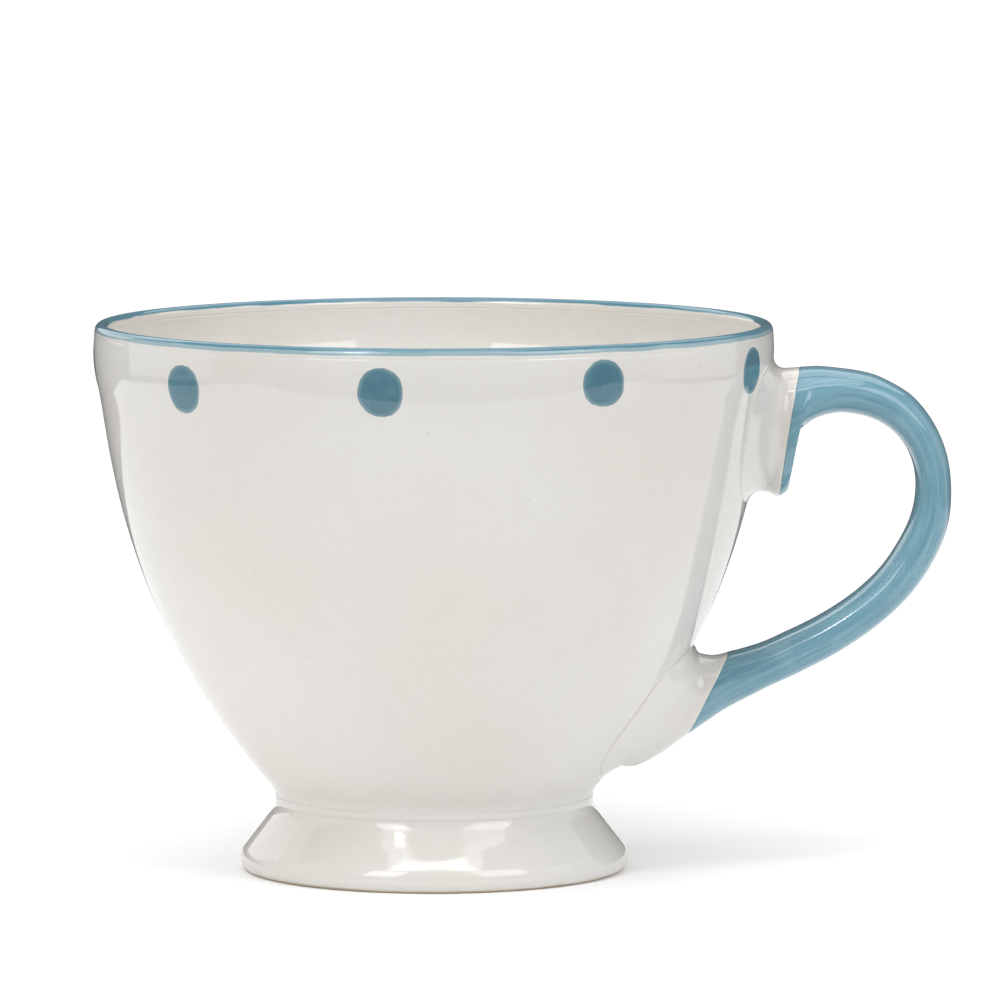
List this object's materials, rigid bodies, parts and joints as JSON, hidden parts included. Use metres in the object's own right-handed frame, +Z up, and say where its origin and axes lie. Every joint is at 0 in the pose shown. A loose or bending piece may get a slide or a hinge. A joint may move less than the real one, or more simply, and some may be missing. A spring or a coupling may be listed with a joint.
{
  "type": "footed stoneware cup",
  "caption": "Wide footed stoneware cup with a looped side handle, cream glaze, a blue lip band, a blue loop and a row of blue dots under the rim.",
  "frame": {"origin": "under the middle of the whole cup's box, on the surface it stands on", "axes": "+Z up along the cup's axis, +X from the cup towards the handle, +Y away from the viewer who sees the handle on the right"},
  "size_m": [0.1514, 0.12, 0.097],
  "materials": {
    "cream_glaze": "clear gloss glaze over a cream body",
    "foot_glaze": "clear gloss glaze over a cream body, with a bare tan standing ring",
    "slip": "luting slip under clear gloss glaze",
    "rim_blue": "gloss blue glaze, thin and pale at its lower edge",
    "blue_glaze": "brushed gloss blue glaze with faint streaks along the loop",
    "dot_blue": "gloss blue glaze with a soft pale fringe"
  },
  "bodies": {
    "root": {"bowl": "cream_glaze", "pedestal_foot": "foot_glaze", "foot_slip_seam": "slip", "ear_handle": "cream_glaze", "upper_slip_fillet": "slip", "lower_slip_fillet": "slip", "rim_glaze_band": "rim_blue", "ear_glaze_sleeve": "blue_glaze", "glaze_dot_1": "dot_blue", "glaze_dot_2": "dot_blue", "glaze_dot_3": "dot_blue", "glaze_dot_4": "dot_blue", "glaze_dot_5": "dot_blue", "glaze_dot_6": "dot_blue", "glaze_dot_7": "dot_blue", "glaze_dot_8": "dot_blue", "glaze_dot_9": "dot_blue"}
  },
  "joints": []
}
